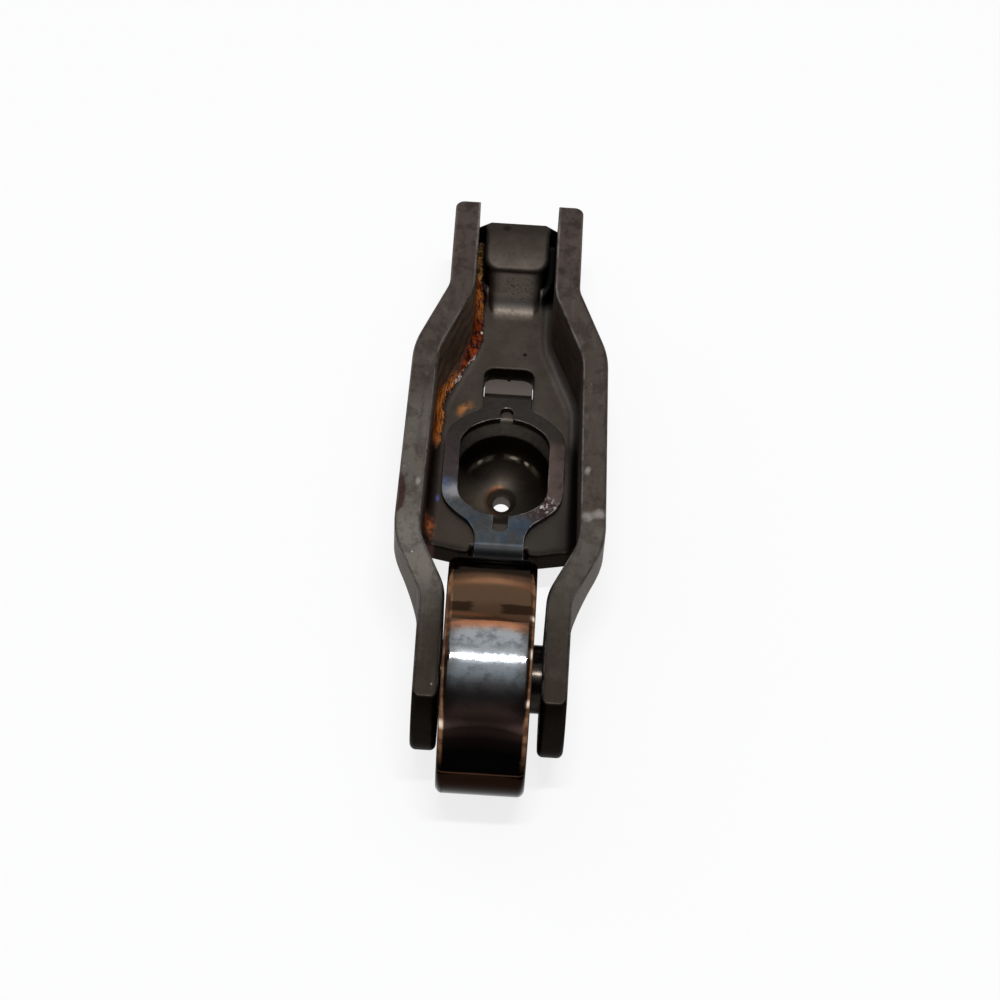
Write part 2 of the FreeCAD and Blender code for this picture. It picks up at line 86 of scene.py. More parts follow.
class Nodes:
    """Short names for the nodes of one tree."""

    def __init__(self, tree):
        self.tree = tree
        self.tree.nodes.clear()

    def plug(self, socket, value):
        if isinstance(value, bpy.types.NodeSocket):
            self.tree.links.new(value, socket)
        else:
            socket.default_value = value

    def vector(self, operation, first, second):
        node = self.tree.nodes.new("ShaderNodeVectorMath")
        node.operation = operation
        self.plug(node.inputs[0], first)
        self.plug(node.inputs[1], second)
        return node.outputs["Value" if operation in ("DISTANCE", "DOT_PRODUCT", "LENGTH") else "Vector"]

    def split(self, vector):
        node = self.tree.nodes.new("ShaderNodeSeparateXYZ")
        self.plug(node.inputs[0], vector)
        return node.outputs[0], node.outputs[1], node.outputs[2]

    def math(self, operation, first, second=0.0):
        node = self.tree.nodes.new("ShaderNodeMath")
        node.operation = operation
        self.plug(node.inputs[0], first)
        self.plug(node.inputs[1], second)
        return node.outputs[0]

    def add(self, *values):
        total = values[0]
        for value in values[1:]:
            total = self.math("ADD", total, value)
        return total

    def less(self, first, second):
        return self.math("SUBTRACT", first, second)

    def times(self, *values):
        product = values[0]
        for value in values[1:]:
            product = self.math("MULTIPLY", product, value)
        return product

    def most(self, *values):
        top = values[0]
        for value in values[1:]:
            top = self.math("MAXIMUM", top, value)
        return top

    def off(self, value):
        return self.less(1.0, value)

    def size(self, value):
        return self.math("ABSOLUTE", value)

    def step(self, value, start, end):
        """Smooth rise from 0 at start to 1 at end, or a fall where end is the lower."""
        node = self.tree.nodes.new("ShaderNodeMapRange")
        node.interpolation_type = "SMOOTHSTEP"
        self.plug(node.inputs["Value"], value)
        low, high = (start, end) if start < end else (end, start)
        node.inputs["From Min"].default_value = low
        node.inputs["From Max"].default_value = high
        node.inputs["To Min"].default_value = 0.0 if start < end else 1.0
        node.inputs["To Max"].default_value = 1.0 if start < end else 0.0
        return node.outputs[0]

    def between(self, value, start, end, soft):
        """1 between start and end, fading out over soft beyond both."""
        return self.times(self.step(value, start - soft, start), self.step(value, end + soft, end))

    def profile(self, value, stops):
        """Number that follows value through a few (value, number) stops, smoothly in between."""
        first, last = stops[0][0], stops[-1][0]
        tops = max(number for _, number in stops)
        node = self.tree.nodes.new("ShaderNodeValToRGB")
        node.color_ramp.interpolation = "EASE"
        self.ramp_stops(node, [((at - first) / (last - first), (number / tops,) * 3 + (1.0,))
                               for at, number in stops])
        spread = self.math("DIVIDE", self.less(value, first), last - first)
        self.plug(node.inputs[0], spread)
        return self.times(self.split(node.outputs[0])[0], tops)

    def colours(self, value, stops):
        """Colour that follows value through a few (value, colour) stops."""
        first, last = stops[0][0], stops[-1][0]
        node = self.tree.nodes.new("ShaderNodeValToRGB")
        node.color_ramp.interpolation = "LINEAR"
        self.ramp_stops(node, [((at - first) / (last - first), colour) for at, colour in stops])
        self.plug(node.inputs[0], self.math("DIVIDE", self.less(value, first), last - first))
        return node.outputs[0]

    def ramp_stops(self, node, stops):
        elements = node.color_ramp.elements
        while len(elements) < len(stops):
            elements.new(1.0)
        for element, (place, colour) in zip(elements, stops):
            element.position = place
            element.color = colour

    def mix(self, share, first, second):
        """Colour between first and second."""
        node = self.tree.nodes.new("ShaderNodeMix")
        node.data_type = "RGBA"
        self.plug(node.inputs[0], share)
        self.plug(node.inputs[6], first)
        self.plug(node.inputs[7], second)
        return node.outputs[2]

    def blend(self, share, first, second):
        """Number between first and second."""
        node = self.tree.nodes.new("ShaderNodeMix")
        self.plug(node.inputs[0], share)
        self.plug(node.inputs[2], first)
        self.plug(node.inputs[3], second)
        return node.outputs[0]


class Finish(Nodes):
    """A node material. Its places are in millimetres, on the piece at rest."""

    def __init__(self, name):
        self.material = bpy.data.materials.new(name)
        self.material.use_nodes = True
        super().__init__(self.material.node_tree)
        self.shader = self.tree.nodes.new("ShaderNodeBsdfPrincipled")
        output = self.tree.nodes.new("ShaderNodeOutputMaterial")
        self.tree.links.new(self.shader.outputs["BSDF"], output.inputs["Surface"])
        coordinates = self.tree.nodes.new("ShaderNodeTexCoord")
        self.place = self.vector("MULTIPLY", coordinates.outputs["Object"], (1 / MM,) * 3)
        self.x, self.y, self.z = self.split(self.place)
        self.nx, self.ny, self.nz = self.split(coordinates.outputs["Normal"])

    def spot(self, centre, radius, soft):
        """1 within radius of a place, fading out over soft."""
        return self.step(self.vector("DISTANCE", self.place, centre), radius + soft, radius)

    def oval(self, centre, radii, soft, uneven):
        """1 inside an ellipsoid, fading out over the share soft of its radii, its boundary uneven."""
        offset = self.vector("DIVIDE", self.vector("SUBTRACT", self.place, centre), radii)
        distance = self.add(self.vector("LENGTH", offset, (0, 0, 0)), uneven)
        return self.step(distance, 1 + soft / 2, 1 - soft / 2)

    def noise(self, scale, detail=3.0, rough=0.5, stretch=(1.0, 1.0, 1.0), shift=0.0):
        """Noise of about this many features per millimetre."""
        place = self.vector("MULTIPLY", self.place, stretch)
        place = self.vector("ADD", place, (shift, -shift, shift * 0.7))
        node = self.tree.nodes.new("ShaderNodeTexNoise")
        self.plug(node.inputs["Vector"], place)
        node.inputs["Scale"].default_value = scale
        node.inputs["Detail"].default_value = detail
        node.inputs["Roughness"].default_value = rough
        return node.outputs["Fac"]

    def ragged(self, size, scale, shift=0.0, stretch=(1.0, 1.0, 1.0)):
        """Random shift of up to about half of size either way, to make a boundary uneven."""
        return self.times(self.less(self.noise(scale, 4, 0.6, stretch, shift), 0.5), size * 2)

    def specks(self, scale, share, shift=0.0):
        """1 in small round specks about this many to the millimetre, over this share of the cells."""
        node = self.tree.nodes.new("ShaderNodeTexVoronoi")
        self.plug(node.inputs["Vector"], self.vector("ADD", self.place, (shift, shift, -shift)))
        node.inputs["Scale"].default_value = scale
        chosen = self.step(self.split(node.outputs["Color"])[0], 1.0 - share, 1.02 - share)
        return self.times(chosen, self.step(node.outputs["Distance"], 0.32, 0.12))

    def edge(self, radius, faint=0.995, full=0.90):
        """1 on edges and corners, from the normal as it would be rounded to this radius."""
        geometry = self.tree.nodes.new("ShaderNodeNewGeometry")
        facing = self.vector("DOT_PRODUCT", self.rounded(radius), geometry.outputs["Normal"])
        return self.step(facing, faint, full)

    def bump(self, height, depth, strength=1.0, normal=None):
        """Normal over a height of 0 to 1 that stands for depth."""
        node = self.tree.nodes.new("ShaderNodeBump")
        node.inputs["Strength"].default_value = strength
        node.inputs["Distance"].default_value = depth * MM
        self.plug(node.inputs["Height"], height)
        if normal is not None:
            self.plug(node.inputs["Normal"], normal)
        return node.outputs[0]

    def rounded(self, radius):
        """Normal with the edges rounded to this radius."""
        node = self.tree.nodes.new("ShaderNodeBevel")
        node.samples = 6
        node.inputs["Radius"].default_value = radius * MM
        return node.outputs[0]

    def set(self, **values):
        for name, value in values.items():
            self.plug(self.shader.inputs[name.replace("_", " ").title()], value)
        return self.material


def deposit(f):
    """Baked oil along the corner of left wall and web, with painted glints. Returns its share, colour and
    height.
    """
    belly = f.less(BELLY_HALF_GAP, f.times(f.less(f.y, BELLY_END_Y), BELLY_GROWTH))
    closing = f.less(BELLY_HALF_GAP, f.times(f.less(f.y, BELLY_END_Y), CLOSING))
    gap = f.most(f.math("MINIMUM", belly, closing), VALVE_HALF_GAP)
    inward = f.add(f.x, gap)                       # from the inner face of the left wall
    along = f.times(f.step(f.y, 1.4, 3.4), f.step(f.x, 0.0, -1.0), f.step(inward, -1.0, -0.4),
                    f.step(f.add(f.y, f.ragged(1.2, 0.8, 99)), 26.4, 24.6))
    outer = f.profile(f.y, [(1.0, 0.7), (5.5, 1.0), (8.0, 0.7), (11.0, 1.0), (13.2, 1.3),
                            (16.5, 1.1), (20.5, 0.9), (22.5, 0.6), (27.5, 0.5)])
    reach = f.less(outer, f.add(inward, f.ragged(0.45, 0.7, 5), f.ragged(0.3, 2.6, 25)))
    rise = f.profile(f.y, [(1.0, 4.4), (7.0, 4.2), (9.5, 2.6), (12.0, 2.2), (16.0, 3.4), (27.5, 3.8)])
    low = f.step(f.less(f.add(f.z, f.ragged(0.8, 1.2, 9)), rise), 0.7, -0.5)
    share = f.times(along, f.step(reach, -0.05, 0.22), low)
    strands = f.noise(1.5, 4, 0.65, stretch=(3.4, 0.3, 1.8), shift=7)
    amber = f.mix(f.step(strands, 0.34, 0.60), tone(72, 26, 10), tone(190, 112, 50))
    clots = f.step(f.noise(0.7, 5, 0.7, shift=61), 0.50, 0.60)
    amber = f.mix(f.times(clots, 0.75), amber, tone(84, 26, 10))
    red = f.mix(f.step(f.noise(1.4, 4, 0.65, shift=17), 0.42, 0.6), tone(44, 12, 6), tone(138, 56, 18))
    gold = f.mix(f.step(f.noise(1.6, 4, 0.7, shift=19), 0.40, 0.66), tone(60, 40, 20), tone(160, 116, 62))
    colour = f.mix(f.times(f.step(f.y, 9.8, 12.2), f.step(f.y, 18.4, 17.2)), amber, red)
    colour = f.mix(f.step(f.y, 21.5, 23.0), colour, gold)
    # Painted highlights on the wet oil: white glints along its outer edge and cream specks of painted
    # sparkle.
    glints = f.step(f.noise(1.5, 4, 0.6, shift=27), 0.44, 0.54)
    rim = f.times(f.step(reach, 0.40, 0.06), f.between(f.y, 9.4, 13.0, 0.7), glints)
    colour = f.mix(rim, colour, tone(214, 204, 198))
    painted_sparkles = f.times(f.specks(1.5, 0.20, 63), f.step(f.y, 19.0, 17.0))
    colour = f.mix(painted_sparkles, colour, tone(226, 206, 184))
    return share, colour, f.times(share, f.add(0.4, f.times(0.4, strands), f.times(0.5, clots)))


def stains(f, steel):
    """Single marks on the body: patches, rust, smear, bruises, and a painted glint. Also returns the share
    without bare metal.
    """
    maroon = f.oval((-10.2, -9.1, WALL_TOP), (0.85, 2.3, 1.0), 0.3, f.ragged(0.3, 0.9, 41))
    steel = f.mix(f.times(maroon, 0.85), steel, tone(62, 38, 36))
    wall = f.times(f.step(f.x, -6.2, -6.7), f.step(f.nz, 0.8, 0.5), f.step(f.x, -8.3, -8.0),
                   f.between(f.y, -12.0, 2.0, 2.0), f.step(f.z, 10.0, 6.0))
    steel = f.mix(f.times(wall, 0.75), steel, tone(74, 50, 46))
    along = f.times(f.add(f.x, f.y), DIAGONAL)               # the smear lies at 45 degrees
    aside = f.size(f.add(f.times(f.less(f.y, f.x), DIAGONAL), -8.05, f.ragged(0.5, 0.9, 43)))
    smear = f.times(f.step(aside, 0.65, 0.0), f.between(f.add(along, f.ragged(0.6, 0.7, 47)), 1.6, 2.2, 1.1),
                    f.step(f.nz, 0.8, 0.95), f.step(f.size(f.less(f.z, WEB_TOP)), 0.2, 0.1),
                    f.step(f.noise(1.1, 3, 0.5, shift=97), 0.30, 0.62))
    steel = f.mix(f.times(smear, 0.75), steel, tone(204, 132, 66))
    rust = f.oval((-7.05, -7.0, 2.3), (0.5, 1.5, 1.4), 1.0, f.ragged(1.1, 1.0, 45, (1.6, 0.5, 1.0)))
    steel = f.mix(f.times(rust, 0.85), steel, f.mix(f.step(f.noise(1.8, 4, 0.6, shift=65), 0.42, 0.6),
                                                    tone(88, 40, 22), tone(176, 98, 50)))
    # A small painted blue-violet glint low on the left wall.
    violet = f.oval((-6.4, -3.6, 1.5), (0.18, 0.4, 0.5), 1.2, f.ragged(1.0, 2.0, 67))
    steel = f.mix(f.times(violet, 0.6), steel, tone(112, 112, 190))
    steel = f.mix(f.spot((1.45, 13.88, WEB_TOP), 0.14, 0.1), steel, tone(34, 30, 27))
    uneven = f.ragged(1.3, 1.1, 89)
    bruises = f.most(f.oval((9.5, -10.3, WALL_TOP), (0.7, 0.4, 0.5), 1.6, uneven),
                     f.oval((8.4, -10.6, WALL_TOP), (0.55, 0.4, 0.5), 1.6, uneven),
                     f.oval((8.2, -5.5, WALL_TOP), (0.25, 0.4, 0.5), 1.4, uneven),
                     f.oval((-8.2, -7.8, WALL_TOP), (0.2, 0.35, 0.5), 1.4, uneven),
                     f.oval((-7.2, 21.5, WALL_TOP), (0.4, 0.2, 0.5), 1.4, uneven))
    steel = f.mix(f.times(bruises, 0.5), steel, tone(180, 172, 167))
    return steel, f.times(f.most(rust, smear), 0.8)


def wall_tops(f, steel, draws):
    """Rosy in the middle, greyer past the widest place, brown on the ears; lighter at the valve end and
    darker on the ears partly as painted light and shade of the sloping tops. Also returns the tops' share.
    """
    top = f.times(f.step(f.nz, 0.6, 0.9), f.step(f.z, 7.0, 8.0))
    # Tone along the tops, partly painted light and shade: lighter on the valve-end slope and darker on the
    # ear slopes, for how they catch the lamp.
    tops = f.colours(f.add(f.y, f.ragged(1.6, 0.35, 31)), [
        (-33.0, tone(38, 32, 26)), (-23.0, tone(46, 40, 34)), (-17.0, tone(72, 67, 61)),
        (-13.0, tone(76, 72, 67)), (-10.0, tone(86, 77, 71)), (6.0, tone(86, 76, 70)),
        (16.0, tone(92, 81, 76)), (19.0, tone(116, 102, 97)), (27.5, tone(112, 99, 94))])
    steel = f.mix(f.times(top, 0.85), steel, tops)
    left_top = f.times(top, f.step(f.x, 1.0, -1.0), f.between(f.y, -17.0, 0.0, 4.0))
    steel = f.mix(f.times(left_top, 0.45), steel, tone(122, 116, 108))
    marked = f.times(top, f.blend(f.step(f.y, -10.0, -15.0), 1.0, 0.25))
    steel = f.mix(f.times(f.step(draws, 0.52, 0.70), 0.22, marked), steel, tone(124, 116, 111))
    steel = f.mix(f.times(f.step(draws, 0.46, 0.30), 0.30, marked), steel, tone(60, 53, 49))
    cloudy = f.step(f.noise(0.8, 5, 0.65, shift=75), 0.46, 0.62)
    steel = f.mix(f.times(cloudy, 0.5, top), steel, tone(54, 47, 42))
    dust = f.step(f.noise(0.35, 6, 0.72, shift=103), 0.52, 0.68)
    dust_share = f.blend(f.step(f.y, -10.0, -15.0), 0.16, 0.05)
    steel = f.mix(f.times(dust, dust_share, top), steel, tone(150, 140, 132))
    return steel, top


def web_end(f, steel):
    """The web darkens towards the roller, most of all on the right, and its rolled-over end is painted dark
    as painted shade.
    """
    web = f.times(f.step(f.nz, 0.6, 0.9), f.step(f.z, 2.2, 1.8))
    low = f.times(web, f.step(f.y, -1.0, -6.0))
    darker = f.mix(f.step(f.x, -1.0, 3.0), tone(70, 61, 55), tone(60, 56, 52))
    steel = f.mix(f.times(low, 0.75), steel, darker)
    shaded = f.times(web, f.step(f.x, 5.0, 7.5), f.step(f.y, -2.0, -6.0))
    steel = f.mix(f.times(shaded, 0.7), steel, tone(32, 29, 27))
    # Painted shade where the web's end rolls over, and on its rounded edge in place of an edge highlight.
    lip = f.times(web, f.step(f.add(f.y, f.times(f.size(f.x), -0.18), f.ragged(0.3, 0.8, 69)), -9.2, -10.3))
    steel = f.mix(f.times(lip, 0.8), steel, tone(24, 21, 19))
    rolled = f.times(f.edge(0.45, 0.999, 0.96), f.step(f.y, -7.0, -8.0), f.step(f.z, 2.0, 1.6))
    steel = f.mix(f.times(rolled, 0.85), steel, tone(24, 21, 19))
    return steel


def upright_faces(f, steel, upright, draws):
    """Lighter inner faces, stains on the left wall, paler outer flares; a light corner and a darker low part
    on the right. The lighter inner faces and flares are painted light, the light corner a painted highlight.
    """
    # Inner faces are painted lighter than the tops as painted fill light, mottled by the forming marks; the
    # left one is also stained, in the same lightened tones.
    inner = f.times(upright, f.step(f.times(f.nx, f.x), 0.2, -0.6))
    scale = f.mix(f.step(draws, 0.35, 0.65), tone(108, 94, 84), tone(138, 127, 118))
    steel = f.mix(f.times(inner, 0.75), steel, scale)
    stained = f.step(f.noise(0.5, 5, 0.65, stretch=(1.0, 0.6, 1.4), shift=95), 0.36, 0.62)
    steel = f.mix(f.times(inner, f.step(f.x, 0.0, -1.0), 0.6), steel,
                  f.mix(stained, tone(214, 184, 160), tone(124, 100, 82)))
    # Outer flares painted paler as painted light.
    outer = f.times(upright, f.step(f.times(f.nx, f.x), 0.2, 0.9), f.between(f.y, -17.0, -8.0, 5.0))
    steel = f.mix(f.times(outer, 0.6), steel, tone(122, 115, 108))
    # Painted highlight on the right corner of web and wall.
    corner = f.times(f.between(f.nz, 0.25, 0.8, 0.15), f.step(f.z, 4.0, 3.0), f.step(f.x, 2.0, 3.5),
                     f.step(f.z, 1.4, 1.5))
    steel = f.mix(f.times(corner, f.step(f.y, 1.5, 5.0), 0.85), steel, tone(156, 154, 150))
    # Darker low on the right wall towards the roller.
    right_low_dark = f.times(f.step(f.x, 6.3, 7.0), f.step(f.x, 9.5, 8.5),
                    f.step(f.add(f.y, f.ragged(2.0, 0.3, 109)), 4.0, 0.5),
                    f.step(f.z, 5.0, 2.5), f.step(f.y, -10.5, -9.0))
    steel = f.mix(f.times(right_low_dark, 0.75), steel, tone(26, 24, 24))
    return steel


def neck_and_pad(f, steel):
    """Worn and pitted neck with painted shade on its sides and foot, and valve pad with painted shade on its
    far end. Also returns the shares of neck, pits and pad.
    """
    neck = f.times(f.between(f.y, 18.1, 21.45, 0.5), f.step(f.size(f.x), 3.3, 3.0), f.step(f.z, 1.5, 2.1),
                   f.step(f.z, 5.2, 4.8))
    # The neck is lighter in the middle from wear; its sides, which curve away, and its foot, under the
    # highlight there, get painted shade.
    middle = f.step(f.size(f.add(f.x, f.ragged(0.5, 0.5, 77))), 2.7, 1.1)
    pitted = f.oval((0.4, 20.2, 3.5), (1.9, 1.6, 1.5), 0.9, f.ragged(0.6, 0.8, 71))
    pits = f.times(f.step(f.noise(5.0, 2, 0.6, shift=47), 0.52, 0.62), pitted)
    neck_wear_and_shade = f.mix(middle, tone(74, 69, 64), tone(172, 161, 150))
    neck_wear_and_shade = f.mix(f.step(f.z, 2.9, 2.1), neck_wear_and_shade, f.mix(middle, tone(50, 47, 44), tone(92, 88, 84)))
    steel = f.mix(f.times(neck, 0.9), steel, f.mix(f.times(pits, 0.6), neck_wear_and_shade, tone(58, 52, 47)))
    pad = f.times(f.step(f.y, PAD_START_Y - 0.2, PAD_START_Y + 0.2), f.step(f.z, 5.0, 5.3),
                  f.step(f.size(f.x), 3.6, 3.4))
    # Painted shade on the pad's far end, where it turns down.
    steel = f.mix(f.times(pad, f.step(f.y, 25.0, 26.2), 0.6), steel, tone(62, 57, 53))
    steel = f.mix(f.times(f.spot((-1.2, 26.3, 5.7), 0.25, 0.3), 0.7), steel, tone(36, 33, 31))
    return steel, neck, pits, pad


def painted_shade_places(f, steel, upright):
    """Painted shade: faces towards the roller, grooves beside the pad over their oil staining, and the window
    with its rim. Also returns the share of the first.
    """
    # Near-black painted shade on faces turned towards the roller.
    lip_end = f.times(f.step(f.y, -8.1, -8.4),
                      f.most(f.step(f.size(f.x), 6.6, 6.2), f.step(f.ny, -0.6, -0.85)))
    front = f.times(f.step(f.ny, -0.03, -0.3), f.most(lip_end, f.step(f.y, -25.0, -27.0)))
    steel = f.mix(f.times(front, 0.96), steel, tone(19, 15, 12))
    # Painted shade in the deep grooves beside the pad, over oil staining.
    grooves = f.times(f.step(f.y, 18.9, 20.3), f.step(f.size(f.x), 2.6, 2.95), f.step(f.z, 5.3, 4.9),
                      f.step(f.size(f.x), VALVE_HALF_GAP + 0.5, VALVE_HALF_GAP + 0.2))
    steel = f.mix(grooves, steel, tone(15, 14, 14))
    # Painted shade on the window's walls.
    window = f.times(upright, f.between(f.y, 7.8, 12.1, 0.1), f.step(f.size(f.x), 2.7, 2.6),
                     f.step(f.z, 1.43, 1.38))
    steel = f.mix(window, steel, tone(30, 25, 20))
    # Painted shade on the window's rim edges, in place of their edge highlight.
    rim = f.times(f.between(f.y, 7.5, 12.5, 0.2), f.step(f.size(f.x), 3.2, 2.9), f.edge(0.3, 0.999, 0.97))
    steel = f.mix(f.times(rim, 0.8), steel, tone(32, 28, 25))
    return steel, front


def socket_cup(f, steel):
    """Socket, its chamfer, painted shade and painted reflections in it, and a halo round the oil hole. Also
    returns the cup's share.
    """
    across = f.math("SQRT", f.add(f.times(f.x, f.x), f.times(f.y, f.y)))
    open_side = f.times(f.step(f.z, 1.42, 1.36), f.step(f.z, -6.9, -6.7))
    chamfer = f.times(f.step(across, 6.25, 6.1), open_side)
    steel = f.mix(chamfer, steel, tone(96, 90, 83))
    cup = f.times(f.step(across, SOCKET_RADIUS + 0.15, SOCKET_RADIUS), f.step(f.z, 0.3, 0.1),
                  f.step(f.z, -5.2, -5.0))
    bowl = f.mix(f.step(f.noise(0.35, 3, 0.5, shift=9), 0.4, 0.6), tone(90, 82, 72), tone(80, 77, 72))
    # Painted shade on the far half, darkest high on the far wall and along the top, and a painted lighter
    # patch on the near left, standing in for the cup's reflections.
    bowl = f.mix(f.times(f.step(f.add(f.y, f.ragged(1.5, 0.3, 91)), -1.5, 1.0), 0.85), bowl, tone(48, 42, 37))
    bowl = f.mix(f.times(f.step(f.z, -3.2, -1.6), f.step(f.y, -2.0, 2.0)), bowl, tone(26, 22, 18))
    bowl = f.mix(f.times(f.step(f.x, 0.5, -2.5), f.step(f.y, 2.5, -1.0)), bowl, tone(150, 139, 124))
    bowl = f.mix(f.step(f.z, -1.2, 0.0), bowl, tone(40, 35, 30))
    painted_reflection_arc = f.times(f.between(f.z, -2.7, -2.55, 0.3), f.step(f.y, 1.6, 3.2))        # painted reflection arc on the far wall
    broken = f.step(f.noise(0.6, 3, 0.5, shift=73), 0.38, 0.66)
    bowl = f.mix(f.times(painted_reflection_arc, broken, 0.7), bowl, tone(168, 158, 142))
    # Three painted highlights on the far wall.
    painted_highlights = f.most(f.oval((-2.45, 3.3, -2.6), (0.3, 0.3, 0.16), 1.2, 0.0),
                    f.oval((1.0, 4.0, -2.6), (0.42, 0.3, 0.14), 1.2, 0.0),
                    f.oval((2.3, 3.4, -2.6), (0.24, 0.3, 0.16), 1.2, 0.0))
    bowl = f.mix(f.times(painted_highlights, 0.9), bowl, tone(250, 244, 232))
    halo = f.between(across, 1.45, 1.7, 0.25)
    bowl = f.mix(f.times(halo, f.step(f.x, 0.6, -0.8), 0.6), bowl, tone(112, 70, 42))
    steel = f.mix(cup, steel, bowl)
    return steel, cup


def wear(f, steel, top, front):
    """Nicks, rubbed edges and light flecks on the walls."""
    nicks = f.times(f.edge(0.22), f.step(f.noise(1.1, 4, 0.65, shift=2), 0.54, 0.64), f.step(f.z, 6.0, 8.0))
    steel = f.mix(f.times(nicks, 0.5, f.off(front)), steel, tone(158, 150, 145))
    tilt = f.times(f.nx, f.math("SIGN", f.x))              # below 0 on the inner edges
    rounding = f.most(f.between(tilt, -0.90, -0.30, 0.12), f.times(f.between(tilt, 0.35, 0.8, 0.1), 0.4))
    worn_edges = f.times(f.most(rounding, f.edge(0.3)), f.step(f.nz, 0.1, 0.3), f.step(f.z, 6.0, 7.5),
                         f.step(f.noise(0.45, 5, 0.7, shift=93), 0.36, 0.62))
    steel = f.mix(f.times(worn_edges, 0.6, f.off(front)), steel, tone(158, 154, 152))
    flecks = f.times(f.specks(2.2, 0.03, 51), top)
    steel = f.mix(f.times(flecks, 0.6), steel, tone(176, 168, 162))
    return steel


def body_finish():
    """Formed steel, satin, stained brown by oil, with a glossy deposit along the left corner."""
    f = Finish("oil-stained steel")
    mottle = f.noise(0.22, 5, 0.62)
    fine = f.noise(2.4, 5, 0.7, shift=3)
    draws = f.noise(0.9, 4, 0.6, stretch=(1.6, 0.18, 1.6), shift=37)     # long marks from forming
    steel = f.mix(f.step(mottle, 0.35, 0.65), tone(76, 68, 61), tone(90, 82, 76))
    steel = f.mix(f.times(f.step(fine, 0.48, 0.72), 0.5), steel, tone(58, 51, 46))
    upright = f.step(f.nz, 0.55, 0.15)
    steel, top = wall_tops(f, steel, draws)
    steel = web_end(f, steel)
    steel = upright_faces(f, steel, upright, draws)
    steel, neck, pits, pad = neck_and_pad(f, steel)
    steel, front = painted_shade_places(f, steel, upright)
    steel, cup = socket_cup(f, steel)
    steel, dry = stains(f, steel)
    share, colour, lump = deposit(f)
    steel = f.mix(share, steel, colour)
    steel = wear(f, steel, top, front)
    rough = f.blend(f.step(fine, 0.3, 0.7), 0.40, 0.52)
    rough = f.blend(cup, rough, f.blend(f.step(fine, 0.3, 0.7), 0.44, 0.56))
    rough = f.blend(f.most(neck, pad), rough, 0.60)
    rough = f.blend(f.most(share, dry), rough, 0.24)
    grain = f.add(f.times(fine, 0.6), f.times(f.noise(8.0, 2, 0.5, shift=1), 0.4))
    grain = f.add(grain, f.times(neck, pits, -0.8))
    normal = f.bump(grain, 0.014, 0.55, normal=f.rounded(0.35))
    normal = f.bump(lump, 0.22, 0.9, normal=normal)
    return f.set(base_color=steel, metallic=f.off(f.most(share, dry)), roughness=rough, normal=normal,
                 specular_tint=EDGE_ON)


def clip_finish():
    """Spring steel with temper colours: blue-grey in front, mauve-brown on the right; painted shade and light
    on the tab and tongue, and painted glints on the rust.
    """
    f = Finish("blued spring steel")
    cloud = f.noise(0.3, 3, 0.5, shift=11)
    steel = f.mix(f.step(f.add(f.y, f.ragged(1.5, 0.4, 53)), 2.0, -4.0), tone(64, 60, 57), tone(84, 88, 90))
    left = f.times(f.step(f.x, -3.0, -4.8), f.between(f.y, -1.0, 3.0, 1.5))
    steel = f.mix(f.times(left, 0.6), steel, tone(84, 70, 72))
    right = f.times(f.step(f.x, 2.8, 4.8), f.between(f.y, -4.0, 2.2, 1.5))
    steel = f.mix(f.times(right, 0.85), steel, tone(108, 90, 84))
    steel = f.mix(f.times(f.step(cloud, 0.46, 0.60), 0.4), steel, tone(60, 54, 51))
    blue = f.times(f.step(f.noise(0.55, 3, 0.5, shift=55), 0.46, 0.60), f.step(f.y, -5.2, -6.8))
    steel = f.mix(f.times(blue, 0.7), steel, tone(60, 78, 98))
    mottle = f.step(f.noise(1.3, 5, 0.7, shift=105), 0.44, 0.66)
    steel = f.mix(f.times(mottle, 0.35), steel, tone(46, 42, 40))
    uneven = f.ragged(1.0, 1.1, 79)
    blue_patch = f.oval((-5.6, -2.5, CLIP_TOP), (0.6, 0.8, 1.0), 1.7, uneven)
    steel = f.mix(f.times(blue_patch, 0.55), steel, tone(92, 108, 152))
    light = f.oval((-4.9, -3.1, CLIP_TOP), (0.8, 0.8, 1.0), 1.8, uneven)
    steel = f.mix(f.times(light, 0.75), steel, tone(176, 174, 176))
    grit = f.step(f.noise(1.4, 5, 0.7, shift=21), 0.38, 0.50)
    rust = f.times(f.oval((3.9, -4.8, CLIP_TOP), (1.7, 1.3, 1.0), 0.6, f.ragged(0.7, 0.9, 81)), grit)
    steel = f.mix(f.times(rust, 0.95), steel, tone(50, 27, 24))
    # White painted glints on the rust.
    painted_rust_glints = f.times(f.oval((4.5, -4.1, CLIP_TOP), (1.1, 0.9, 1.0), 0.7, f.ragged(0.5, 1.2, 107)),
                     f.step(f.noise(2.4, 4, 0.6, shift=57), 0.52, 0.60))
    steel = f.mix(f.times(painted_rust_glints, 0.85), steel, tone(200, 192, 198))
    # Painted shade on the tab's bend, which dims its highlight, and painted light on the tab's upright part.
    bend = f.times(f.step(f.nz, 0.999, 0.97), f.step(f.y, -8.6, -8.8))
    bent = f.mix(f.step(f.nz, 0.6, 0.1), tone(42, 42, 42), tone(72, 65, 59))
    steel = f.mix(f.times(bend, 0.85), steel, bent)
    # The tongue is painted light grey: painted light on its lit end.
    tongue = f.times(f.step(f.y, 8.2, 8.7), f.step(f.z, 2.2, 2.0))
    steel = f.mix(tongue, steel, tone(134, 124, 118))
    rubbed = f.times(f.step(f.noise(0.7, 3, 0.6, shift=59), 0.40, 0.58),
                     f.blend(f.step(f.y, 2.0, -2.0), 0.3, 0.75))
    steel = f.mix(f.times(f.edge(0.18), rubbed), steel, tone(196, 190, 186))
    grain = f.noise(4.0, 4, 0.65, shift=6)
    normal = f.bump(f.add(grain, f.times(rust, 0.8)), 0.014, 0.6, normal=f.rounded(0.12))
    rough = f.blend(f.step(grain, 0.3, 0.7), 0.34, 0.46)
    rough = f.blend(f.most(bend, tongue), rough, 0.55)
    metal = f.off(f.most(f.times(rust, 0.8), f.times(tongue, 0.6)))
    return f.set(base_color=steel, metallic=metal, roughness=rough, normal=normal, specular_tint=EDGE_ON)


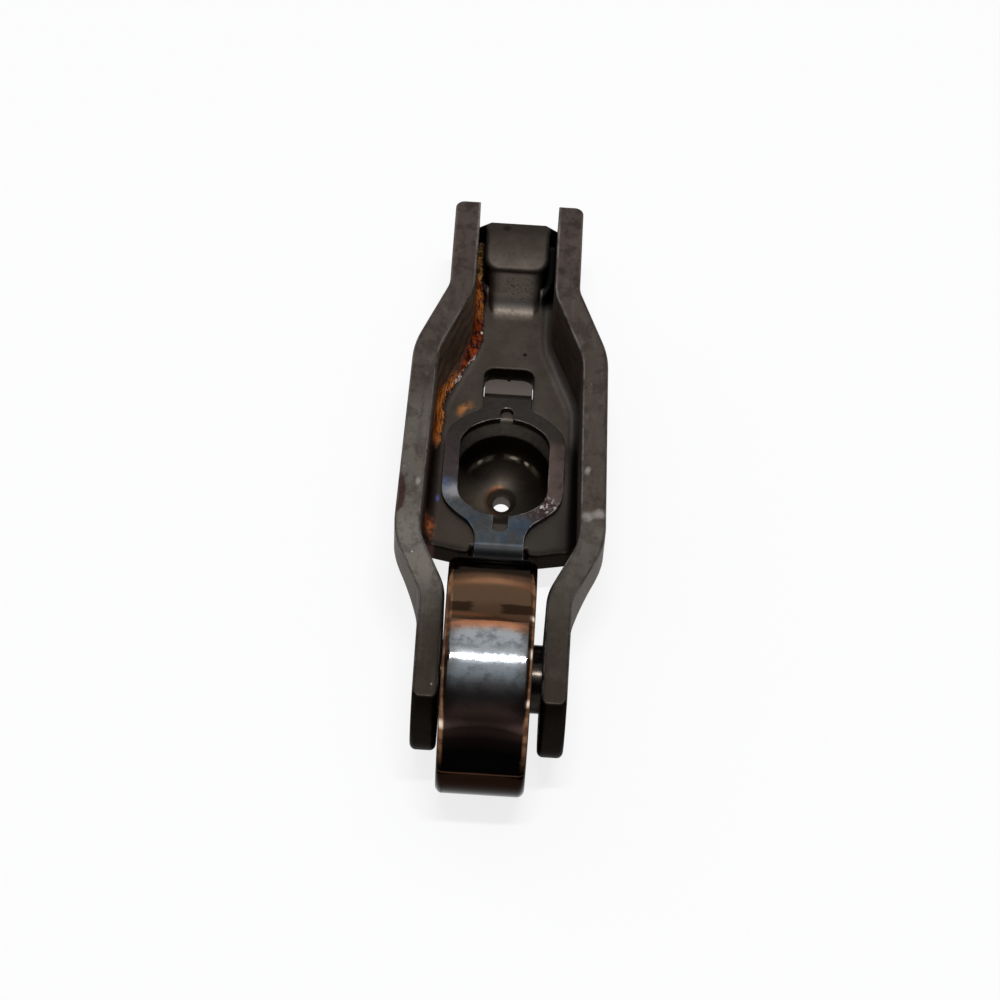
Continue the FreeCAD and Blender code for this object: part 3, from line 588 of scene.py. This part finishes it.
def roller_finish():
    """Bearing steel with the room's reflections painted on as bands across the roller, and painted glints on
    its rims.
    """
    f = Finish("roller steel with painted reflections")
    forward = f.less(roller_centre.y, f.y)
    above = f.less(f.z, roller_centre.z)
    turn = f.times(f.math("ARCTAN2", above, forward), DEGREES)     # 0 ahead, 90 on top
    off_centre = f.times(f.less(f.x, roller_centre.x), 2 / (roller_high.x - roller_low.x))
    bow = f.times(off_centre, off_centre)
    wander = f.add(turn, f.ragged(2.0, 0.28, 13), f.ragged(0.5, 1.5, 33), f.times(bow, 4.0))
    # Reflections painted on as bands by angle round the roller: near black low in front as a painted dark
    # reflection in place of the white floor's, a pale band under the lamp's line, copper and brown bands on
    # top; the back goes on in browns.
    steel = f.colours(wander, [
        (-180, tone(84, 70, 60)), (-120, tone(96, 88, 82)), (-60, tone(70, 58, 50)), (-12, tone(34, 22, 16)),
        (8, tone(30, 18, 13)), (10, tone(3, 2, 2)), (25, tone(3, 2, 2)), (33, tone(15, 10, 9)),
        (38, tone(40, 29, 26)), (46, tone(146, 118, 110)), (52, tone(104, 96, 94)), (59, tone(100, 97, 97)),
        (64, tone(122, 127, 131)), (84, tone(144, 144, 146)), (86.6, tone(140, 130, 122)),
        (87.6, tone(170, 112, 82)), (90.6, tone(162, 106, 76)), (91.4, tone(100, 72, 54)),
        (93, tone(138, 104, 80)), (97, tone(136, 108, 86)), (102, tone(158, 128, 104)),
        (112, tone(164, 130, 104)), (114, tone(186, 136, 102)), (118, tone(100, 74, 56)),
        (123, tone(38, 31, 26)), (145, tone(44, 34, 28)), (180, tone(84, 70, 60))])
    film = f.noise(0.55, 4, 0.6, stretch=(0.45, 1.6, 1.6), shift=15)
    apart = f.size(f.add(off_centre, 0.1))
    # Dark patches and a thin copper line, part of the painted reflection on top.
    patches = f.times(f.step(f.add(apart, f.ragged(0.3, 0.4, 83, (1.0, 2.0, 2.0))), 0.22, 0.42),
                      f.between(f.add(turn, f.ragged(1.5, 0.5, 85)), 94.5, 99.0, 1.0))
    steel = f.mix(f.times(patches, 0.8), steel, tone(62, 46, 34))
    copper = f.times(f.between(turn, 92.2, 93.2, 0.5), f.step(off_centre, 0.1, -0.4))
    steel = f.mix(f.times(copper, 0.7), steel, tone(180, 116, 80))
    # A thin dark line, part of the painted reflection low in front.
    line = f.times(f.between(turn, 8.3, 8.9, 0.4), f.step(film, 0.62, 0.48))
    steel = f.mix(f.times(line, 0.4), steel, tone(96, 68, 50))
    blotches = f.times(f.step(f.noise(0.5, 4, 0.6, stretch=(0.7, 1.2, 1.2), shift=87), 0.50, 0.62),
                       f.between(turn, 42, 52, 4.0))
    steel = f.mix(f.times(blotches, 0.45), steel, tone(104, 70, 64))
    cool = f.noise(0.9, 5, 0.65, stretch=(0.8, 1.0, 1.0), shift=35)
    # Grey clouds of wear over the painted pale band.
    grey = f.times(f.step(cool, 0.44, 0.64), f.between(turn, 56, 84, 6.0))
    steel = f.mix(f.times(grey, 0.65), steel, tone(70, 72, 74))
    # Painted darker reflection towards the roller's ends.
    ends = f.step(f.add(bow, f.ragged(0.35, 0.5, 101)), 0.22, 0.95)
    steel = f.mix(f.times(ends, f.between(turn, 46, 85, 8.0), 0.8), steel, tone(54, 46, 41))
    side = f.step(f.size(f.nx), 0.12, 0.5)
    steel = f.mix(f.times(side, f.step(turn, 8.0, 40.0)), steel,
                  f.mix(f.step(film, 0.4, 0.6), tone(80, 54, 38), tone(130, 94, 68)))
    face = f.step(f.size(f.nx), 0.8, 0.95)
    steel = f.mix(face, steel, f.mix(f.step(cool, 0.3, 0.7), tone(56, 47, 40), tone(74, 64, 56)))
    lines = f.noise(1.6, 3, 0.5, stretch=(0.2, 3.0, 3.0), shift=8)
    left_glint = f.times(f.step(f.x, roller_centre.x, roller_centre.x - 1), f.between(turn, 37.5, 38.5, 3.0))
    right_glints = f.times(f.step(f.x, roller_centre.x, roller_centre.x + 1),
                           f.most(f.between(turn, 50.5, 50.8, 2.5), f.between(turn, 74, 75, 3.0),
                                  f.between(turn, 92.5, 92.8, 2.0)))
    glints = f.times(f.most(left_glint, right_glints), side, f.step(f.size(f.nx), 0.95, 0.8))
    steel = f.mix(f.times(glints, 0.9), steel, tone(244, 222, 198))
    normal = f.bump(f.add(f.times(lines, 0.4), f.times(cool, 0.6)), 0.006, 0.5, normal=f.rounded(0.1))
    rough = f.blend(f.step(cool, 0.35, 0.7), 0.06, 0.13)
    rough = f.blend(face, rough, 0.32)
    return f.set(base_color=steel, metallic=1.0, roughness=rough, normal=normal, specular_tint=EDGE_ON)


def axle_finish():
    """Ground steel in dark tones."""
    f = Finish("axle steel")
    film = f.noise(0.7, 4, 0.6, shift=23)
    steel = f.mix(f.step(film, 0.35, 0.65), tone(30, 27, 23), tone(48, 44, 40))
    normal = f.bump(f.noise(3.0, 3, 0.6, shift=5), 0.008, 0.5, normal=f.rounded(0.15))
    return f.set(base_color=steel, metallic=1.0, roughness=0.22, normal=normal, specular_tint=EDGE_ON)


def needle_finish():
    """Ground steel under a thin film of oil."""
    f = Finish("needle steel")
    film = f.noise(0.9, 4, 0.6, shift=29)
    steel = f.mix(f.step(film, 0.35, 0.65), tone(90, 80, 70), tone(126, 120, 114))
    normal = f.bump(f.noise(4.0, 2, 0.5, shift=6), 0.004, 0.4)
    return f.set(base_color=steel, metallic=1.0, roughness=0.22, normal=normal, specular_tint=EDGE_ON)


def dress():
    """Gives each CAD node the finish of its slot."""
    finishes = {"rocker_body": body_finish(), "retaining_clip": clip_finish(), "roller": roller_finish(),
                "axle": axle_finish()}
    needles = needle_finish()
    for name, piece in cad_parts.items():
        piece.data.materials.clear()
        piece.data.materials.append(finishes.get(name, needles))


def make_floor():
    """Pale ground under the part. It shows white to the eye and in reflections, less the part's shadow."""
    bpy.ops.mesh.primitive_plane_add(size=FLOOR_SIZE, location=(0, 0, (body_low.z - FLOOR_DROP) * MM))
    ground = bpy.context.object
    ground.name = "floor"
    material = bpy.data.materials.new("pale floor")
    material.use_nodes = True
    n = Nodes(material.node_tree)
    path = n.tree.nodes.new("ShaderNodeLightPath")
    seen = n.most(path.outputs["Is Camera Ray"], path.outputs["Is Glossy Ray"],
                  path.outputs["Is Transmission Ray"])
    paper = n.tree.nodes.new("ShaderNodeBsdfDiffuse")
    paper.inputs["Color"].default_value = (FLOOR_COLOUR,) * 3 + (1.0,)
    glow = n.tree.nodes.new("ShaderNodeEmission")
    mixed = n.tree.nodes.new("ShaderNodeMixShader")
    output = n.tree.nodes.new("ShaderNodeOutputMaterial")
    n.plug(mixed.inputs[0], n.times(seen, FLOOR_GLOW))
    n.plug(mixed.inputs[1], paper.outputs[0])
    n.plug(mixed.inputs[2], glow.outputs[0])
    n.plug(output.inputs["Surface"], mixed.outputs[0])
    ground.data.materials.append(material)


def make_lamp():
    """One long soft lamp, a little in front of straight overhead."""
    lamp = bpy.data.lights.new("overhead lamp", "AREA")
    lamp.shape = "RECTANGLE"
    lamp.size, lamp.size_y = (side * MM for side in LAMP_SIZE)
    lamp.energy = LAMP_POWER
    holder = bpy.data.objects.new("overhead lamp", lamp)
    bpy.context.scene.collection.objects.link(holder)
    holder.location = Vector(LAMP_PLACE) * MM
    holder.rotation_mode = "QUATERNION"
    holder.rotation_quaternion = (-holder.location).to_track_quat("-Z", "Y")


def make_world():
    """A dim room with a soft pale ceiling patch above the lamp, and white low down all round."""
    world = bpy.data.worlds.new("studio")
    bpy.context.scene.world = world
    world.use_nodes = True
    n = Nodes(world.node_tree)
    coordinates = n.tree.nodes.new("ShaderNodeTexCoord")
    dx, dy, dz = n.split(coordinates.outputs["Generated"])
    climb = n.times(n.math("ARCTAN2", dz, n.times(dy, -1.0)), DEGREES)   # 0 ahead, 90 overhead
    patch = n.times(n.step(climb, 42, 82), n.step(climb, 119, 112), n.step(n.size(dx), 0.50, 0.22))
    light = n.mix(n.step(climb, 110, 124), ROOM_FRONT, ROOM_BACK)
    light = n.mix(patch, light, CEILING_PATCH)
    towards_fill = n.vector("DOT_PRODUCT", coordinates.outputs["Generated"], FILL_DIRECTION)
    fill = n.step(towards_fill, 0.80, 0.97)
    light = n.mix(n.times(fill, 0.7), light, FILL_LIGHT)
    light = n.mix(n.step(dz, 0.36, 0.02), light, ROOM_WHITE)
    background = n.tree.nodes.new("ShaderNodeBackground")
    output = n.tree.nodes.new("ShaderNodeOutputWorld")
    n.plug(background.inputs[0], light)
    n.plug(output.inputs[0], background.outputs[0])


def make_camera():
    """Camera at the photograph's place: straight over the roller end, looking down at 60 degrees."""
    camera = bpy.data.cameras.new("camera")
    camera.lens = CAMERA_LENS
    camera.clip_start, camera.clip_end = CAMERA_RANGE
    holder = bpy.data.objects.new("camera", camera)
    bpy.context.scene.collection.objects.link(holder)
    bpy.context.scene.camera = holder
    down = math.radians(CAMERA_ELEVATION)
    roll = math.radians(CAMERA_ROLL)
    ahead = Vector((0, math.cos(down), -math.sin(down)))
    right = Vector((1, 0, 0))
    above = right.cross(ahead)
    side = right * math.cos(roll) + above * math.sin(roll)
    top = above * math.cos(roll) - right * math.sin(roll)
    turn = Matrix((side, top, -ahead)).transposed()
    holder.matrix_world = Matrix.Translation(Vector(CAMERA_PLACE) * MM) @ turn.to_4x4()


dress()
make_floor()
make_lamp()
make_world()
make_camera()
bpy.context.scene.view_settings.view_transform = "Standard"
